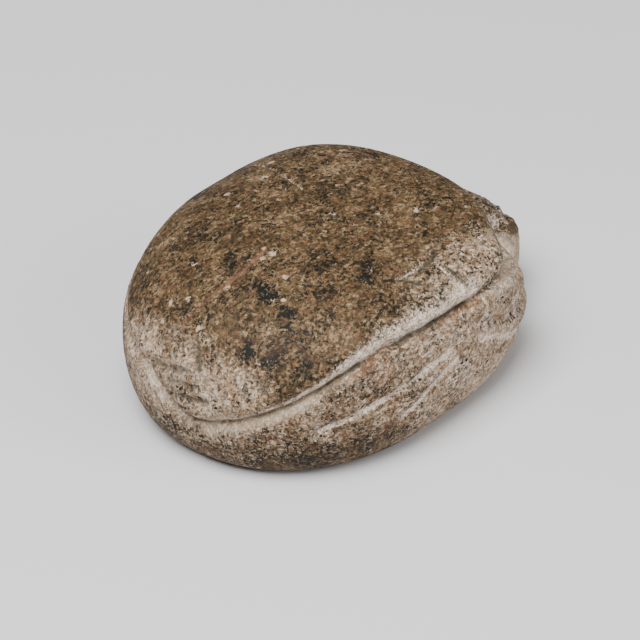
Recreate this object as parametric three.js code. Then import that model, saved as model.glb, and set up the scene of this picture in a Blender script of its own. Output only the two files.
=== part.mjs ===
// Scarab amulet: a beetle carved from one pebble of speckled stone.
// Millimetres, +Z up. The head points along +X, the left side along +Y, and the flat underside lies on Z = 0.
// The stone is one closed surface. form() says which points are inside the uncarved pebble with its head,
// and carving() says how deep the carver's grooves go below that surface.

import * as THREE from "three";

// Whole stone
const LENGTH = 48;
const WIDTH = 34.5;
const HEIGHT = 18.5;

// Body: an oval that is round at the tail and squarer at the shoulders
const TAIL_REACH = 20;
const FRONT_REACH = 20.4;
const BODY_X = TAIL_REACH - LENGTH / 2;
const TAIL_POWER = { right: 2.25, left: 1.97 };
const FRONT_POWER = 3.15;

// Side view: rounded foot, widest at the girth, steep flank and low back
const GIRTH_Z = 7.5;
const FOOT_INSET = 0.2;
const FLANK_TUCK = 0.05;
const BACK_RISE = 3.2;
const BACK_SPREAD = 3.1;
const FRONT_FULLNESS = 0.7;
const CREST_SHIFT = 2.3;

// Head: two cheeks with a raised plate between them that ends in the toothed front edge
const BROW = { edgeX: 15.85, edgeZ: 13, slope: 62, roundness: 0.0325, blend: 0.9 };
const CHEEK = { x: 15, z: 5.6, reach: 7.1, halfWidth: 9.15, halfHeight: 4.4, power: 2.5 };
const CLYPEUS_X = 17;
const CLYPEUS = {
  x: CLYPEUS_X,
  z: 6.1,
  reach: LENGTH / 2 - CLYPEUS_X,
  halfWidth: 6.6,
  halfHeight: 2.9,
  power: 3,
};
const PLATE = {
  x: 20.4,
  top: 10.9,
  slope: 0.75,
  highest: 12.2,
  halfWidth: 4.4,
  height: 2.5,
  back: 11.6,
  front: 23,
  power: 2.6,
};
const HEAD_BLEND = 0.6;
const NECK_BLEND = 1.0;
const HEAD_CARVING = { back: 17.5, fullX: 19, lowZ: 11.5, highZ: 12.5, fade: 0.5 };
const TEETH = { pitch: 2.1, depth: 0.4, reach: 2.2, roundness: 0.06, lowZ: 3.4, highZ: 4.2, halfWidth: 3.9 };
const CHEEK_LINE = { depth: 0.3, width: 0.55 };
const NECK_CUT = { depth: 0.35, width: 0.9 };
const SHOULDER_LUMP = { angle: 42, spread: 13, z: 8.5, rise: 2.6, height: 0.92 };

// Edge of the back: one groove all round the body, low at the tail and high along the flanks
const EDGE = {
  tailZ: 5.6,
  flankZ: 13.6,
  depth: 0.62,
  width: 0.75,
  upperShare: 0.8,
  lip: 0.16,
  lipGap: 2.2,
};
const EDGE_RISE_END = 60;
const LEFT_STEP = { from: -8, to: 13, rise: 3.9, climbFrom: 12, blend: 0.5 };
const CORNER = { angle: 47, spread: 11, drop: 1.6, depth: 0.55, width: 1.4 };
const NECK = { spread: 26, drop: 0.6, depth: 0.2 };

// Grooves on each flank, given by x along the body and z above the underside
const MIDDLE_LEG = { from: -18.5, to: -2, startZ: 6.2, endZ: 10.0, arch: 0.6, depth: 0.4, width: 0.65 };
const HIND_LEG = { from: -10, to: -1, startZ: 4.9, endZ: 8.7, arch: 0.25, depth: 0.36, width: 0.65 };
const FORELEG = { from: -0.4, to: 15.5, endZ: 7.4, drop: 5.5, reach: 6, depth: 0.42, width: 0.6 };
const FLANK = { innerY: 7, outerY: 10, lowZ: 14.6, highZ: 15.6, legFade: 0.9, forelegFade: 0.8 };
const FOOT_EDGE = { lowZ: 0.3, highZ: 1.5 };

// Mesh: columns round the stone, closer together at the head, and rows from the underside to the crest
const COLUMNS = 120;
const COLUMN_CROWDING = 0.3;
const BASE_ROWS = 2;
const WALL_ROWS = 26;
const BACK_ROWS = 13;
const CORE_Z = 4;
const RAY_START = 0.5;
const RAY_LENGTH = 34;
const RAY_STEPS = 30;
const ROW_BOXINESS = 0.9;
const PROBE = 0.05;
const TINY = 1e-6;

const STONE_COLOR = 0x8c7660;
const STONE_ROUGHNESS = 0.62;

const { clamp, degToRad, radToDeg } = THREE.MathUtils;
const smooth = (low, high, value) => THREE.MathUtils.smoothstep(value, low, high);
const hill = (value, middle, spread) => Math.exp(-(((value - middle) / spread) ** 2));

// Joins two solids with a fillet
function blend(a, b, size) {
  const t = clamp(0.5 + (b - a) / (2 * size), 0, 1);
  return b + (a - b) * t - size * t * (1 - t);
}

// Fades a stroke in and out at its two ends
function stretch(value, from, to, fade) {
  return smooth(from - fade, from + fade, value) * (1 - smooth(to - fade, to + fade, value));
}

// Keeps what two solids share, with a rounded edge between them
function overlap(a, b, size) {
  return -blend(-a, -b, size);
}

// Slope at the front of the thorax, down to the head
function brow(x, y, z) {
  const slope = degToRad(BROW.slope);
  const ahead = x - BROW.edgeX + BROW.roundness * y ** 2;
  return ahead * Math.sin(slope) + (z - BROW.edgeZ) * Math.cos(slope);
}

// Below zero inside the pebble, above zero outside
function body(x, y, z) {
  const rise = clamp((z - GIRTH_Z) / (HEIGHT - GIRTH_Z), 0, 1);
  const toFront = (x - BODY_X) / Math.max(Math.hypot(x - BODY_X, y), TINY);
  const along = x - BODY_X - CREST_SHIFT * rise ** 3;
  const reach = along > 0 ? FRONT_REACH : TAIL_REACH;
  const tailPower = y < 0 ? TAIL_POWER.right : TAIL_POWER.left;
  const power = along > 0 ? FRONT_POWER : tailPower;
  const gauge = (Math.abs(along / reach) ** power + Math.abs((2 * y) / WIDTH) ** power) ** (1 / power);
  const foot = clamp(1 - z / GIRTH_Z, 0, 1);
  const inset = FOOT_INSET + FLANK_TUCK * ((2 * y) / WIDTH) ** 2;
  const footFullness = 1 - inset * (1 - Math.sqrt(1 - foot ** 2));
  const backFullness = (1 - rise ** (BACK_RISE + FRONT_FULLNESS * toFront)) ** (1 / BACK_SPREAD);
  const fullness = rise > 0 ? backFullness : footFullness;
  const pebble = ((gauge - fullness) * WIDTH) / 2 + Math.max(z - HEIGHT, 0);
  return overlap(pebble, brow(x, y, z), BROW.blend);
}

// A rounded pad, such as a cheek or the front edge of the head
function pad(shape, x, y, z) {
  const along = Math.abs((x - shape.x) / shape.reach) ** shape.power;
  const across = Math.abs(y / shape.halfWidth) ** shape.power;
  const upright = Math.abs((z - shape.z) / shape.halfHeight) ** shape.power;
  return ((along + across + upright) ** (1 / shape.power) - 1) * shape.halfHeight;
}

// The raised middle of the head, which slopes down to the front
function plate(x, y, z) {
  const top = Math.min(PLATE.top - PLATE.slope * (x - PLATE.x), PLATE.highest);
  const across = Math.abs(y / PLATE.halfWidth) ** PLATE.power;
  const upright = Math.abs((z - top) / PLATE.height + 1) ** PLATE.power;
  const ridge = ((across + upright) ** (1 / PLATE.power) - 1) * PLATE.height;
  return overlap(ridge, Math.max(x - PLATE.front, PLATE.back - x), HEAD_BLEND);
}

function head(x, y, z) {
  const front = blend(pad(CLYPEUS, x, y, z), plate(x, y, z), HEAD_BLEND);
  return blend(pad(CHEEK, x, y, z), front, HEAD_BLEND);
}

// Below zero inside the uncarved stone with its head, above zero outside
function form(x, y, z) {
  return blend(body(x, y, z), head(x, y, z), NECK_BLEND);
}

// Angle round the stone in degrees: 0 at the head, 180 at the tail, the left side positive
function turnOf(x, y) {
  return radToDeg(Math.atan2(y, x));
}

// Height of the groove that edges the back
function edgeHeight(turn) {
  const fromTail = 180 - Math.abs(turn);
  const leftward = turn < 0 ? -fromTail : fromTail;
  const climb = EDGE.flankZ - EDGE.tailZ;
  const right = EDGE.tailZ + climb * smooth(0, EDGE_RISE_END, -leftward);
  const step = LEFT_STEP.rise * smooth(LEFT_STEP.from, LEFT_STEP.to, leftward);
  const rest = (climb - LEFT_STEP.rise) * smooth(LEFT_STEP.climbFrom, EDGE_RISE_END, leftward);
  const left = EDGE.tailZ + step + rest;
  const corner = CORNER.drop * hill(Math.abs(turn), CORNER.angle, CORNER.spread);
  return -blend(-left, -right, LEFT_STEP.blend) - corner - NECK.drop * hill(turn, 0, NECK.spread);
}

// Depth of a groove whose middle is a given distance away
function groove(distance, depth, width) {
  return depth * hill(distance, 0, width);
}

function edgeCarving(x, y, z) {
  const turn = turnOf(x, y);
  const corner = hill(Math.abs(turn), CORNER.angle, CORNER.spread);
  const neck = hill(turn, 0, NECK.spread);
  const above = z - edgeHeight(turn);
  const width = EDGE.width + (CORNER.width - EDGE.width) * corner;
  const depth = EDGE.depth + CORNER.depth * corner + NECK.depth * neck;
  const lip = EDGE.lip * hill(above, EDGE.lipGap * width, width) * (1 - corner) * (1 - neck);
  return groove(above, depth, above > 0 ? width * EDGE.upperShare : width) - lip;
}

function archedStroke(stroke, x, z) {
  const t = (x - stroke.from) / (stroke.to - stroke.from);
  const middle = stroke.startZ + (stroke.endZ - stroke.startZ) * t + stroke.arch * 4 * t * (1 - t);
  return groove(z - middle, stroke.depth, stroke.width) * stretch(x, stroke.from, stroke.to, FLANK.legFade);
}

function legCarving(x, y, z) {
  const onFlank = smooth(FLANK.innerY, FLANK.outerY, Math.abs(y)) * (1 - smooth(FLANK.lowZ, FLANK.highZ, z));
  const forelegZ = FORELEG.endZ + FORELEG.drop * Math.exp(-(x - FORELEG.from) / FORELEG.reach);
  const along = stretch(x, FORELEG.from, FORELEG.to, FLANK.forelegFade);
  const foreleg = groove(z - forelegZ, FORELEG.depth, FORELEG.width) * along;
  return onFlank * (archedStroke(MIDDLE_LEG, x, z) + archedStroke(HIND_LEG, x, z) + foreleg);
}

// Flutes that leave teeth on the front edge, and the line between the plate and each cheek
function headCarving(x, y, z) {
  const side = Math.abs(y);
  const behind = smooth(HEAD_CARVING.back, HEAD_CARVING.fullX, x);
  const below = 1 - smooth(HEAD_CARVING.lowZ, HEAD_CARVING.highZ, z);
  const flute = 0.5 - 0.5 * Math.cos((2 * Math.PI * y) / TEETH.pitch);
  const tip = LENGTH / 2 - TEETH.roundness * y ** 2;
  const atTip = smooth(tip - TEETH.reach, tip - HEAD_CARVING.fade, x) * smooth(TEETH.lowZ, TEETH.highZ, z);
  const onTeeth = 1 - smooth(TEETH.halfWidth - HEAD_CARVING.fade, TEETH.halfWidth + HEAD_CARVING.fade, side);
  const onPlate = 1 - smooth(PLATE.front - HEAD_CARVING.fade, PLATE.front + HEAD_CARVING.fade, x);
  const teeth = TEETH.depth * flute * atTip * onTeeth;
  const line = groove(side - PLATE.halfWidth, CHEEK_LINE.depth, CHEEK_LINE.width) * onPlate;
  return behind * below * (teeth + line);
}

// Cut along the joint of head and thorax
function neckCarving(x, y, z) {
  return groove(body(x, y, z) - head(x, y, z), NECK_CUT.depth, NECK_CUT.width);
}

// Swelling of the foreleg below each corner of the thorax
function shoulderLump(x, y, z) {
  const turn = Math.abs(turnOf(x, y));
  const { angle, spread, rise, height } = SHOULDER_LUMP;
  return height * hill(turn, angle, spread) * hill(z, SHOULDER_LUMP.z, rise);
}

function carving(x, y, z) {
  const aboveFoot = smooth(FOOT_EDGE.lowZ, FOOT_EDGE.highZ, z);
  const walls = edgeCarving(x, y, z) + legCarving(x, y, z);
  const front = headCarving(x, y, z) + neckCarving(x, y, z) - shoulderLump(x, y, z);
  return aboveFoot * (walls + front);
}

// Where a ray from inside the stone leaves it
function leave(start, direction) {
  let inside = RAY_START;
  let outside = RAY_LENGTH;
  const point = new THREE.Vector3();
  for (let i = 0; i < RAY_STEPS; i += 1) {
    const middle = (inside + outside) / 2;
    point.copy(start).addScaledVector(direction, middle);
    if (form(point.x, point.y, point.z) < 0) {
      inside = middle;
    } else {
      outside = middle;
    }
  }
  return point;
}

function outward(p) {
  const slopeX = form(p.x + PROBE, p.y, p.z) - form(p.x - PROBE, p.y, p.z);
  const slopeY = form(p.x, p.y + PROBE, p.z) - form(p.x, p.y - PROBE, p.z);
  const slopeZ = form(p.x, p.y, p.z + PROBE) - form(p.x, p.y, p.z - PROBE);
  return new THREE.Vector3(slopeX, slopeY, slopeZ).normalize();
}

function carved(point) {
  const depth = carving(point.x, point.y, point.z);
  point.addScaledVector(outward(point), -depth);
  point.z = Math.max(point.z, 0);
  return point;
}

// One point of the surface: the column's angle round the stone, and the row counted from the underside
function surfacePoint(angle, row) {
  const ahead = new THREE.Vector3(Math.cos(angle), Math.sin(angle), 0);
  const foot = leave(new THREE.Vector3(0, 0, 0), ahead);
  if (row <= BASE_ROWS) {
    return foot.multiplyScalar(row / BASE_ROWS);
  }
  const edgeZ = edgeHeight(turnOf(ahead.x, ahead.y));
  const edge = leave(new THREE.Vector3(0, 0, edgeZ), ahead);
  const edgeRadius = Math.hypot(edge.x, edge.y);
  let tilt;
  if (row <= BASE_ROWS + WALL_ROWS) {
    const lowest = Math.atan2(-CORE_Z, Math.hypot(foot.x, foot.y));
    const highest = Math.atan2(edgeZ - CORE_Z, edgeRadius);
    tilt = lowest + ((highest - lowest) * (row - BASE_ROWS)) / WALL_ROWS;
  } else {
    const sweep = ((row - BASE_ROWS - WALL_ROWS) / BACK_ROWS) * (Math.PI / 2);
    const level = edgeRadius * Math.max(Math.cos(sweep), 0) ** ROW_BOXINESS;
    const rise = edgeZ - CORE_Z + (HEIGHT - edgeZ) * Math.sin(sweep) ** ROW_BOXINESS;
    tilt = Math.atan2(rise, level);
  }
  const direction = ahead.multiplyScalar(Math.cos(tilt));
  direction.z = Math.sin(tilt);
  return carved(leave(new THREE.Vector3(0, 0, CORE_Z), direction));
}

// A sphere's grid of columns and rows is laid over the stone
function stoneGeometry() {
  const rows = BASE_ROWS + WALL_ROWS + BACK_ROWS;
  const geometry = new THREE.SphereGeometry(1, COLUMNS, rows);
  const { position } = geometry.attributes;
  for (let i = 0; i < position.count; i += 1) {
    const column = i % (COLUMNS + 1) % COLUMNS;
    const row = rows - Math.floor(i / (COLUMNS + 1));
    const even = (column / COLUMNS) * 2 * Math.PI - Math.PI;
    const point = row === 0
      ? new THREE.Vector3()
      : surfacePoint(row === rows ? 0 : even - COLUMN_CROWDING * Math.sin(even), row);
    position.setXYZ(i, point.x, point.y, point.z);
  }
  geometry.deleteAttribute("uv");
  geometry.deleteAttribute("normal");
  geometry.computeBoundingBox();
  const middle = geometry.boundingBox.getCenter(new THREE.Vector3());
  geometry.translate(-middle.x, -middle.y, 0);
  geometry.computeVertexNormals();
  return geometry;
}

const stone = new THREE.MeshStandardMaterial({
  color: STONE_COLOR,
  roughness: STONE_ROUGHNESS,
  metalness: 0,
});

const scarab = new THREE.Mesh(stoneGeometry(), stone);
scarab.name = "scarab";

const amulet = new THREE.Group();
amulet.add(scarab);

export default amulet;
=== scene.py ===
"""Scarab amulet: a beetle carved from one pebble of speckled stone, worn by handling, in a small studio.

The head points along +X, the left side along +Y, and the flat underside lies on Z = 0.
Blender works in metres. The functions that shape the stone work in millimetres.
"""

import math
from types import SimpleNamespace as Values

import bpy
import numpy as np
from bpy.props import FloatProperty, FloatVectorProperty, PointerProperty
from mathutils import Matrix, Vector, noise


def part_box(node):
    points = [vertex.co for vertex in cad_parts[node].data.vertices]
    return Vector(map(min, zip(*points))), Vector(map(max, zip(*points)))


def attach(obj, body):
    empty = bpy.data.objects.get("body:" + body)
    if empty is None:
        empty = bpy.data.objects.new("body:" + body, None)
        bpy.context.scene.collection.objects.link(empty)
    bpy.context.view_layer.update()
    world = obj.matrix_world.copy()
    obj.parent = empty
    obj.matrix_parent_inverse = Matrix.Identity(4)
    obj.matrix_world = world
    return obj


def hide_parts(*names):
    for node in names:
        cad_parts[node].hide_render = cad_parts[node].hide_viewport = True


bl_info = {
    "name": "Scarab Amulet",
    "version": (1, 0, 0),
    "blender": (4, 5, 0),
    "location": "View3D > Sidebar > Scarab",
    "description": "Carves a beetle from a speckled pebble and sets it in a small studio",
    "category": "Add Mesh",
}

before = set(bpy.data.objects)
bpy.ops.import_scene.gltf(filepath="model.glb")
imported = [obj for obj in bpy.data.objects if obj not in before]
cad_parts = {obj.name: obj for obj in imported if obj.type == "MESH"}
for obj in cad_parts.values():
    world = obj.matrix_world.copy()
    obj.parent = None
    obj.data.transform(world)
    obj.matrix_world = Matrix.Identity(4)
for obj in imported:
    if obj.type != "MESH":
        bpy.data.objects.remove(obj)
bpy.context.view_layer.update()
STONE_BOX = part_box("scarab")
MM = 0.001

# Whole stone, in millimetres as all the shapes below
LENGTH = 48.0
WIDTH = 34.5
HEIGHT = 18.5

# Body: an oval that is round at the tail and squarer at the shoulders
TAIL_REACH = 20.0
FRONT_REACH = 20.4
BODY_X = TAIL_REACH - LENGTH / 2
TAIL_POWER = Values(right=2.25, left=1.97)
FRONT_POWER = 3.15

# Side view: rounded foot, widest at the girth, steep flank and low back
GIRTH_Z = 7.5
FOOT_INSET = 0.2
FLANK_TUCK = 0.05
BACK_RISE = 3.2
BACK_SPREAD = 3.1
FRONT_FULLNESS = 0.7
CREST_SHIFT = 2.3

# Head: two cheeks with a raised plate between them that ends in the toothed front edge
BROW = Values(edge_x=15.85, edge_z=13.0, slope=62.0, roundness=0.0325, blend=0.9)
CHEEK = Values(x=15.0, z=5.6, reach=7.1, half_width=9.15, half_height=4.4, power=2.5)
CLYPEUS_X = 17.0
CLYPEUS = Values(x=CLYPEUS_X, z=6.1, reach=LENGTH / 2 - CLYPEUS_X, half_width=6.6, half_height=2.9, power=3.0)
PLATE = Values(x=20.4, top=10.9, slope=0.75, highest=12.2, half_width=4.4, height=2.5, power=2.6)
PLATE_ENDS = Values(back=11.6, front=23.0)
HEAD_BLEND = 0.6
NECK_BLEND = 1.0
FACE = Values(back=17.5, full_x=19.0, low_z=11.5, high_z=12.5, fade=0.5)
TEETH = Values(pitch=2.1, depth=0.4, reach=2.2, roundness=0.06, low_z=3.4, high_z=4.2, half_width=3.9)
CHEEK_LINE = Values(depth=0.3, width=0.55)
NECK_CUT = Values(depth=0.35, width=0.9)
SHOULDER_LUMP = Values(angle=42.0, spread=13.0, z=8.5, rise=2.6, height=0.92)

# Edge of the back: one groove all round the body, low at the tail and high along the flanks
EDGE = Values(tail_z=5.6, flank_z=13.6, depth=0.62, width=0.75, lip=0.16, lip_gap=2.2, upper_share=0.8)
EDGE_RISE_END = 60.0
LEFT_STEP = Values(start=-8.0, end=13.0, rise=3.9, climb_from=12.0, blend=0.5)
CORNER = Values(angle=47.0, spread=11.0, drop=1.6, depth=0.55, width=1.4)
NECK = Values(spread=26.0, drop=0.6, depth=0.2)

# Grooves on each flank, given by x along the body and z above the underside
MIDDLE_LEG = Values(start=-18.5, end=-2.0, start_z=6.2, end_z=10.0, arch=0.6, depth=0.4, width=0.65)
HIND_LEG = Values(start=-10.0, end=-1.0, start_z=4.9, end_z=8.7, arch=0.25, depth=0.36, width=0.65)
FORELEG = Values(start=-0.4, end=15.5, end_z=7.4, drop=5.5, reach=6.0, depth=0.42, width=0.6)
FLANK = Values(inner_y=7.0, outer_y=10.0, low_z=14.6, high_z=15.6, leg_fade=0.9, foreleg_fade=0.8)
FOOT_EDGE = Values(low_z=0.3, high_z=1.5)

# Grid of the surface: columns round the stone, closer together at the head, and rows up to the crest
COLUMNS = 440
COLUMN_CROWDING = 0.3
BASE_ROWS = 6
WALL_ROWS = 92
BACK_ROWS = 122
CORE_Z = 4.0
RAY_START = 0.5
RAY_LENGTH = 34.0
RAY_STEPS = 30
ROW_BOXINESS = 0.9
PROBE = 0.05
TINY = 1e-6


def smooth(low, high, value):
    """Rises from 0 to 1 as value goes from low to high."""
    t = np.clip((value - low) / (high - low), 0.0, 1.0)
    return t * t * (3.0 - 2.0 * t)


def hill(value, middle, spread):
    """A bump that is 1 at its middle."""
    return np.exp(-(((value - middle) / spread) ** 2))


def stretch(value, start, end, fade):
    """Fades a stroke in and out at its two ends."""
    return smooth(start - fade, start + fade, value) * (1.0 - smooth(end - fade, end + fade, value))


def wave(value, pitch):
    """Rises from 0 to 1 and falls back once in every pitch."""
    return 0.5 - 0.5 * np.cos(2.0 * np.pi * value / pitch)


def blend(a, b, size):
    """Joins two solids with a fillet."""
    t = np.clip(0.5 + (b - a) / (2.0 * size), 0.0, 1.0)
    return b + (a - b) * t - size * t * (1.0 - t)


def overlap(a, b, size):
    """Keeps what two solids share, with a rounded edge between them."""
    return -blend(-a, -b, size)


def brow(x, y, z):
    """Slope at the front of the thorax, down to the head."""
    slope = math.radians(BROW.slope)
    ahead = x - BROW.edge_x + BROW.roundness * y**2
    return ahead * math.sin(slope) + (z - BROW.edge_z) * math.cos(slope)


def pebble(x, y, z):
    """Below zero inside the body, above zero outside."""
    rise = np.clip((z - GIRTH_Z) / (HEIGHT - GIRTH_Z), 0.0, 1.0)
    to_front = (x - BODY_X) / np.maximum(np.hypot(x - BODY_X, y), TINY)
    along = x - BODY_X - CREST_SHIFT * rise**3
    reach = np.where(along > 0, FRONT_REACH, TAIL_REACH)
    power = np.where(along > 0, FRONT_POWER, np.where(y < 0, TAIL_POWER.right, TAIL_POWER.left))
    across = np.abs(2.0 * y / WIDTH)
    gauge = (np.abs(along / reach) ** power + across**power) ** (1.0 / power)
    foot = np.clip(1.0 - z / GIRTH_Z, 0.0, 1.0)
    inset = FOOT_INSET + FLANK_TUCK * across**2
    foot_fullness = 1.0 - inset * (1.0 - np.sqrt(1.0 - foot**2))
    back_fullness = (1.0 - rise ** (BACK_RISE + FRONT_FULLNESS * to_front)) ** (1.0 / BACK_SPREAD)
    fullness = np.where(rise > 0, back_fullness, foot_fullness)
    whole = (gauge - fullness) * WIDTH / 2.0 + np.maximum(z - HEIGHT, 0.0)
    return overlap(whole, brow(x, y, z), BROW.blend)


def pad(shape, x, y, z):
    """A rounded pad, such as a cheek or the front edge of the head."""
    along = np.abs((x - shape.x) / shape.reach) ** shape.power
    across = np.abs(y / shape.half_width) ** shape.power
    upright = np.abs((z - shape.z) / shape.half_height) ** shape.power
    return ((along + across + upright) ** (1.0 / shape.power) - 1.0) * shape.half_height


def plate(x, y, z):
    """The raised middle of the head, which slopes down to the front."""
    top = np.minimum(PLATE.top - PLATE.slope * (x - PLATE.x), PLATE.highest)
    across = np.abs(y / PLATE.half_width) ** PLATE.power
    upright = np.abs((z - top) / PLATE.height + 1.0) ** PLATE.power
    ridge = ((across + upright) ** (1.0 / PLATE.power) - 1.0) * PLATE.height
    return overlap(ridge, np.maximum(x - PLATE_ENDS.front, PLATE_ENDS.back - x), HEAD_BLEND)


def head(x, y, z):
    front = blend(pad(CLYPEUS, x, y, z), plate(x, y, z), HEAD_BLEND)
    return blend(pad(CHEEK, x, y, z), front, HEAD_BLEND)


def form(x, y, z):
    """Below zero inside the uncarved stone with its head, above zero outside."""
    return blend(pebble(x, y, z), head(x, y, z), NECK_BLEND)


def turn_of(x, y):
    """Angle round the stone in degrees: 0 at the head, 180 at the tail, the left side positive."""
    return np.degrees(np.arctan2(y, x))


def edge_height(turn):
    """Height of the groove that edges the back."""
    from_tail = 180.0 - np.abs(turn)
    leftward = np.where(turn < 0, -from_tail, from_tail)
    climb = EDGE.flank_z - EDGE.tail_z
    right = EDGE.tail_z + climb * smooth(0.0, EDGE_RISE_END, -leftward)
    step = LEFT_STEP.rise * smooth(LEFT_STEP.start, LEFT_STEP.end, leftward)
    rest = (climb - LEFT_STEP.rise) * smooth(LEFT_STEP.climb_from, EDGE_RISE_END, leftward)
    left = EDGE.tail_z + step + rest
    corner = CORNER.drop * hill(np.abs(turn), CORNER.angle, CORNER.spread)
    return -blend(-left, -right, LEFT_STEP.blend) - corner - NECK.drop * hill(turn, 0.0, NECK.spread)


def groove(distance, depth, width):
    """Depth of a groove whose middle is a given distance away."""
    return depth * hill(distance, 0.0, width)


def edge_carving(x, y, z):
    turn = turn_of(x, y)
    corner = hill(np.abs(turn), CORNER.angle, CORNER.spread)
    neck = hill(turn, 0.0, NECK.spread)
    above = z - edge_height(turn)
    width = EDGE.width + (CORNER.width - EDGE.width) * corner
    depth = EDGE.depth + CORNER.depth * corner + NECK.depth * neck
    lip = EDGE.lip * hill(above, EDGE.lip_gap * width, width) * (1.0 - corner) * (1.0 - neck)
    return groove(above, depth, np.where(above > 0, width * EDGE.upper_share, width)) - lip


def arched_stroke(stroke, x, z):
    t = (x - stroke.start) / (stroke.end - stroke.start)
    middle = stroke.start_z + (stroke.end_z - stroke.start_z) * t + stroke.arch * 4.0 * t * (1.0 - t)
    cut = groove(z - middle, stroke.depth, stroke.width)
    return cut * stretch(x, stroke.start, stroke.end, FLANK.leg_fade)


def leg_carving(x, y, z):
    flank = smooth(FLANK.inner_y, FLANK.outer_y, np.abs(y)) * (1.0 - smooth(FLANK.low_z, FLANK.high_z, z))
    foreleg_z = FORELEG.end_z + FORELEG.drop * np.exp(-(x - FORELEG.start) / FORELEG.reach)
    foreleg = groove(z - foreleg_z, FORELEG.depth, FORELEG.width)
    foreleg = foreleg * stretch(x, FORELEG.start, FORELEG.end, FLANK.foreleg_fade)
    return flank * (arched_stroke(MIDDLE_LEG, x, z) + arched_stroke(HIND_LEG, x, z) + foreleg)


def head_carving(x, y, z):
    """Flutes that leave teeth on the front edge, and the line between the plate and each cheek."""
    side = np.abs(y)
    on_head = smooth(FACE.back, FACE.full_x, x)
    on_head = on_head * (1.0 - smooth(FACE.low_z, FACE.high_z, z))
    flute = wave(y, TEETH.pitch)
    tip = LENGTH / 2.0 - TEETH.roundness * y**2
    fade = FACE.fade
    teeth = TEETH.depth * flute * smooth(tip - TEETH.reach, tip - fade, x)
    teeth = teeth * smooth(TEETH.low_z, TEETH.high_z, z)
    teeth = teeth * (1.0 - smooth(TEETH.half_width - fade, TEETH.half_width + fade, side))
    line = groove(side - PLATE.half_width, CHEEK_LINE.depth, CHEEK_LINE.width)
    line = line * (1.0 - smooth(PLATE_ENDS.front - fade, PLATE_ENDS.front + fade, x))
    return on_head * (teeth + line)


def shoulder_lump(x, y, z):
    """Swelling of the foreleg below each corner of the thorax."""
    lump = SHOULDER_LUMP
    return lump.height * hill(np.abs(turn_of(x, y)), lump.angle, lump.spread) * hill(z, lump.z, lump.rise)


def neck_carving(x, y, z):
    """Cut along the joint of head and thorax."""
    return groove(pebble(x, y, z) - head(x, y, z), NECK_CUT.depth, NECK_CUT.width)


def carving(x, y, z):
    above_foot = smooth(FOOT_EDGE.low_z, FOOT_EDGE.high_z, z)
    walls = edge_carving(x, y, z) + leg_carving(x, y, z)
    front = head_carving(x, y, z) + neck_carving(x, y, z) - shoulder_lump(x, y, z)
    return above_foot * (walls + front)


def leave(start, ahead):
    """Where rays from inside the stone leave it."""
    inside = np.full(len(ahead), RAY_START)
    outside = np.full(len(ahead), RAY_LENGTH)
    for _ in range(RAY_STEPS):
        middle = (inside + outside) / 2.0
        within = form(*(start + ahead * middle[:, None]).T) < 0
        inside = np.where(within, middle, inside)
        outside = np.where(within, outside, middle)
    return start + ahead * middle[:, None]


def outward(points):
    """Unit normals of the uncarved stone."""
    slopes = []
    for axis in range(3):
        step = np.zeros(3)
        step[axis] = PROBE
        slopes.append(form(*(points + step).T) - form(*(points - step).T))
    normals = np.stack(slopes, axis=1)
    return normals / np.linalg.norm(normals, axis=1, keepdims=True)


def lay_grid(column, row):
    """Points on the uncarved stone for the vertices of a grid, given their columns and rows."""
    even = np.arange(COLUMNS) / COLUMNS * 2.0 * np.pi - np.pi
    turn = even - COLUMN_CROWDING * np.sin(even)
    level = np.stack([np.cos(turn), np.sin(turn), np.zeros(COLUMNS)], axis=1)
    foot = leave(np.zeros((COLUMNS, 3)), level)
    edge_z = edge_height(np.degrees(np.arctan2(level[:, 1], level[:, 0])))
    edge = leave(edge_z[:, None] * np.array([0.0, 0.0, 1.0]), level)
    edge_radius = np.hypot(edge[:, 0], edge[:, 1])[column]
    edge_rise = edge_z[column] - CORE_Z
    lowest = np.arctan2(-CORE_Z, np.hypot(foot[:, 0], foot[:, 1]))[column]
    highest = np.arctan2(edge_rise, edge_radius)
    wall_tilt = lowest + (highest - lowest) * (row - BASE_ROWS) / WALL_ROWS
    sweep = np.clip((row - BASE_ROWS - WALL_ROWS) / BACK_ROWS, 0.0, 1.0) * np.pi / 2.0
    reach = edge_radius * np.maximum(np.cos(sweep), 0.0) ** ROW_BOXINESS
    rise = edge_rise + (HEIGHT - CORE_Z - edge_rise) * np.sin(sweep) ** ROW_BOXINESS
    tilt = np.where(row <= BASE_ROWS + WALL_ROWS, wall_tilt, np.arctan2(rise, reach))
    ahead = level[column] * np.cos(tilt)[:, None]
    ahead[:, 2] = np.sin(tilt)
    points = leave(np.array([0.0, 0.0, CORE_Z]), ahead)
    base = row <= BASE_ROWS
    points[base] = foot[column[base]] * (row[base] / BASE_ROWS)[:, None]
    return points


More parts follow.
